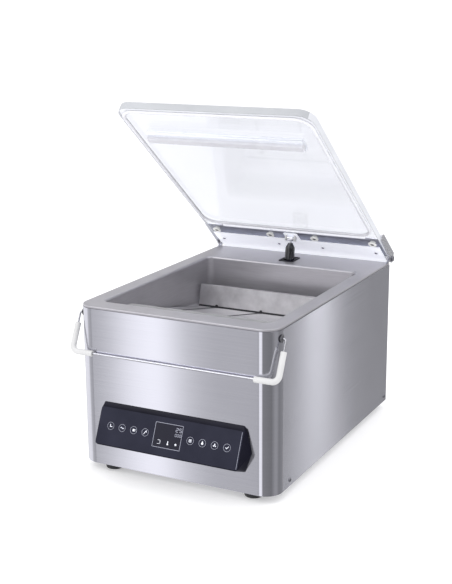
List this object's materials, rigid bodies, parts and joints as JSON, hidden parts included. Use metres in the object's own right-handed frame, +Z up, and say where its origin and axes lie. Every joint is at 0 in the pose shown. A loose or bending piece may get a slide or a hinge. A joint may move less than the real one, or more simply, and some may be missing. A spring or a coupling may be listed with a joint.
{
  "type": "vacuum packing machine",
  "caption": "Tabletop chamber vacuum sealer: brushed steel casing, deep chamber, hinged clear lid held open by a strut, wire lid bail and sloped touch panel.",
  "frame": {"origin": "on the ground below the middle of the bounding box, lid open", "axes": "+Z up, -Y towards the front with the control panel, +X to the right seen from the front"},
  "size_m": [0.352, 0.5136, 0.5539],
  "materials": {
    "steel": "brushed",
    "tub_steel": "satin",
    "bright_steel": "polished",
    "dark_steel": "zinc plated",
    "rubber": "moulded",
    "clear_acrylic": "clear, polished",
    "silicone": "moulded",
    "aluminium": "extruded",
    "sealing_tape": "woven, coated",
    "white_plastic": "moulded",
    "black_plastic": "fine texture",
    "slate_membrane": "satin membrane",
    "display_glass": "gloss",
    "circuit_board": "lacquered",
    "cast_metal": "cast, painted",
    "motor_paint": "satin paint",
    "oil_glass": "clear",
    "copper": "enamelled wire",
    "hose_rubber": "smooth",
    "red_plastic": "moulded",
    "strut_black": "gloss black"
  },
  "bodies": {
    "root": {"casing": "steel", "base_plate": "dark_steel", "rear_panel": "steel", "casing_screws": "bright_steel", "rubber_feet": "rubber", "chamber_tub": "tub_steel", "suction_baffle": "steel", "filler_plates": "steel", "seal_cylinders": "aluminium", "hinge_ears": "dark_steel", "hinge_pins": "bright_steel", "strut_bezel": "black_plastic", "strut_base": "dark_steel", "bail_bushings": "black_plastic", "panel_housing": "black_plastic", "panel_fascia": "slate_membrane", "display_window": "display_glass", "control_board": "circuit_board", "pump_body": "cast_metal", "pump_motor": "motor_paint", "fan_cover": "motor_paint", "oil_sight": "oil_glass", "exhaust_filter": "motor_paint", "transformer_core": "dark_steel", "transformer_coil": "copper", "valve_block": "aluminium", "vacuum_hose": "hose_rubber", "power_inlet": "black_plastic", "switch_bezel": "black_plastic"},
    "lid": {"lid_panel": "clear_acrylic", "lid_gasket": "silicone", "counter_bar": "aluminium", "counter_strip": "silicone", "lid_rail": "bright_steel", "hinge_arms": "bright_steel", "rail_bolts": "bright_steel", "bolt_bushes": "white_plastic", "rail_screws": "bright_steel", "strut_bracket": "white_plastic"},
    "strut_cylinder": {"strut_cylinder": "strut_black"},
    "strut_rod": {"strut_rod": "bright_steel"},
    "bail": {"bail_wire": "bright_steel", "bail_sleeves": "white_plastic"},
    "seal_bar": {"seal_bar": "aluminium", "seal_element": "sealing_tape", "seal_pistons": "bright_steel"},
    "rotor": {"motor_shaft": "bright_steel", "motor_fan": "black_plastic", "pump_rotor": "steel"},
    "rocker": {"rocker_switch": "red_plastic"},
    "key_1": {"key_1": "slate_membrane"},
    "key_2": {"key_2": "slate_membrane"},
    "key_3": {"key_3": "slate_membrane"},
    "key_4": {"key_4": "slate_membrane"},
    "key_5": {"key_5": "slate_membrane"},
    "key_6": {"key_6": "slate_membrane"},
    "key_7": {"key_7": "slate_membrane"},
    "key_8": {"key_8": "slate_membrane"}
  },
  "joints": [
    {"name": "lid_hinge", "type": "hinge", "parent": "root", "child": "lid", "pos_m": [0, 0.24221, 0.268], "axis": [1, 0, 0], "range_deg": [0, 38.5], "stiffness_Nm_per_rad": 4, "springref_deg": -97.4},
    {"name": "strut_lean", "type": "hinge", "parent": "lid", "child": "strut_cylinder", "pos_m": [0, 0.18965, 0.29831], "axis": [1, 0, 0], "range_deg": [-36.62, 0]},
    {"name": "strut_slide", "type": "slide", "parent": "strut_cylinder", "child": "strut_rod", "axis": [0, 0.1143, 0.9934], "range_m": [0, 0.03977]},
    {"name": "bail_swing", "type": "hinge", "parent": "root", "child": "bail", "pos_m": [0, -0.20579, 0.246], "axis": [-1, 0, 0], "range_deg": [0, 208.8]},
    {"name": "seal_lift", "type": "slide", "parent": "root", "child": "seal_bar", "axis": [0, 0, 1], "range_m": [0, 0.008]},
    {"name": "motor_spin", "type": "hinge", "parent": "root", "child": "rotor", "pos_m": [0, 0.02221, 0.086], "axis": [1, 0, 0], "continuous": true},
    {"name": "rocker_tilt", "type": "hinge", "parent": "root", "child": "rocker", "pos_m": [-0.04, 0.23621, 0.054], "axis": [1, 0, 0], "range_deg": [0, 18]},
    {"name": "key_1_press", "type": "slide", "parent": "root", "child": "key_1", "axis": [0, 0.9135, -0.4067], "range_m": [0, 0.0005], "stiffness_N_per_m": 400},
    {"name": "key_2_press", "type": "slide", "parent": "root", "child": "key_2", "axis": [0, 0.9135, -0.4067], "range_m": [0, 0.0005], "stiffness_N_per_m": 400},
    {"name": "key_3_press", "type": "slide", "parent": "root", "child": "key_3", "axis": [0, 0.9135, -0.4067], "range_m": [0, 0.0005], "stiffness_N_per_m": 400},
    {"name": "key_4_press", "type": "slide", "parent": "root", "child": "key_4", "axis": [0, 0.9135, -0.4067], "range_m": [0, 0.0005], "stiffness_N_per_m": 400},
    {"name": "key_5_press", "type": "slide", "parent": "root", "child": "key_5", "axis": [0, 0.9135, -0.4067], "range_m": [0, 0.0005], "stiffness_N_per_m": 400},
    {"name": "key_6_press", "type": "slide", "parent": "root", "child": "key_6", "axis": [0, 0.9135, -0.4067], "range_m": [0, 0.0005], "stiffness_N_per_m": 400},
    {"name": "key_7_press", "type": "slide", "parent": "root", "child": "key_7", "axis": [0, 0.9135, -0.4067], "range_m": [0, 0.0005], "stiffness_N_per_m": 400},
    {"name": "key_8_press", "type": "slide", "parent": "root", "child": "key_8", "axis": [0, 0.9135, -0.4067], "range_m": [0, 0.0005], "stiffness_N_per_m": 400}
  ],
  "couplings": [
    {"joint": "strut_lean", "follows": "lid_hinge", "ratio": -0.94977},
    {"joint": "strut_slide", "follows": "lid_hinge", "m_per_rad": 0.059031}
  ]
}
